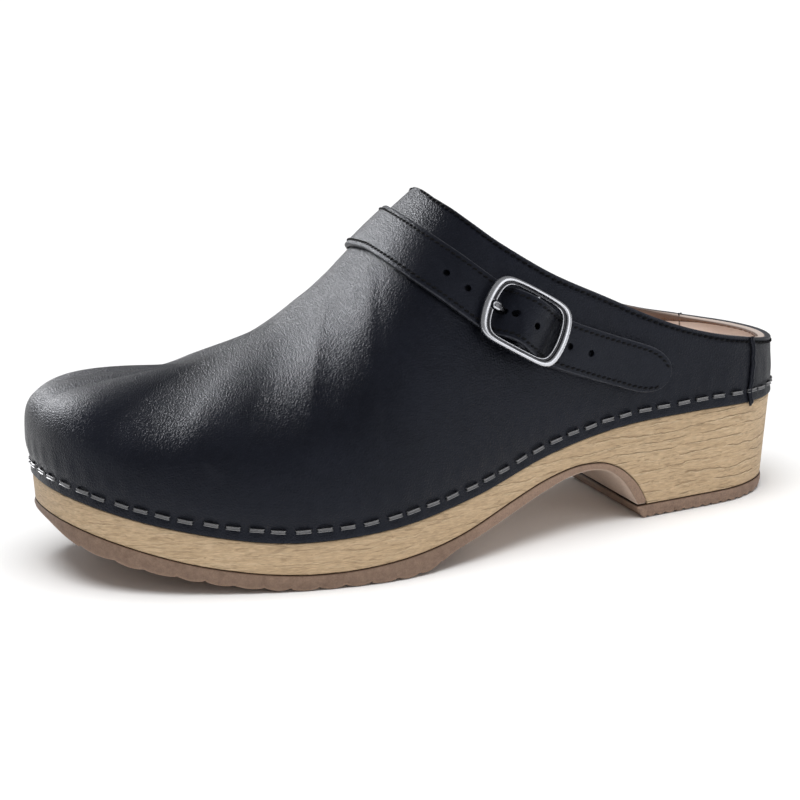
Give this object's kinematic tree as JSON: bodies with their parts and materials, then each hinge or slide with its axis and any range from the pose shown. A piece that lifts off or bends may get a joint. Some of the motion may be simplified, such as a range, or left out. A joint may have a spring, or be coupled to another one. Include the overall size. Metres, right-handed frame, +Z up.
{
  "type": "slip-on clog",
  "caption": "Closed-toe slip-on clog for the left foot: stapled leather upper on a carved wooden sole with rubber tread and a buckled instep strap.",
  "frame": {"origin": "on the ground, in the middle of the heel lift's underside, 33 mm in front of the back of the heel", "axes": "toe to -X, outer side of the foot to -Y, +Z up"},
  "size_m": [0.27, 0.1055, 0.1192],
  "materials": {
    "light_wood": "matt, visible grain",
    "brown_rubber": "matt",
    "black_leather": "satin, fine grain",
    "fibre_board": "matt",
    "pale_lining": "matt",
    "brown_lining": "matt",
    "footbed_foam": "soft foam",
    "sock_leather": "matt",
    "staple_steel": "dull",
    "satin_silver": "satin"
  },
  "bodies": {
    "shoe": {"wooden_sole": "light_wood", "forefoot_outsole": "brown_rubber", "heel_lift": "brown_rubber", "footbed_foam": "footbed_foam", "sock_lining": "sock_leather", "vamp": "black_leather", "heel_quarter": "black_leather", "toe_puff": "fibre_board", "heel_counter": "fibre_board", "vamp_lining": "pale_lining", "heel_lining": "pale_lining", "topline_facing": "brown_lining", "seam_cord_outer": "black_leather", "seam_cord_inner": "black_leather", "staples_toe_outer": "staple_steel", "staples_outer": "staple_steel", "staples_heel": "staple_steel", "staples_inner": "staple_steel", "staples_toe_inner": "staple_steel", "instep_strap": "black_leather", "anchor_strap": "black_leather"},
    "buckle": {"buckle_frame": "satin_silver", "buckle_bar": "satin_silver"},
    "prong": {"buckle_prong": "satin_silver"}
  },
  "joints": [
    {"name": "buckle_rock", "type": "hinge", "parent": "shoe", "child": "buckle", "pos_m": [-0.07837, -0.04217, 0.07752], "axis": [0.5309, 0.3021, 0.7918], "range_deg": [-2.5, 2.5]},
    {"name": "prong_lift", "type": "hinge", "parent": "buckle", "child": "prong", "pos_m": [-0.07837, -0.04217, 0.07752], "axis": [0.5309, 0.3021, 0.7918], "range_deg": [0, 3]}
  ]
}
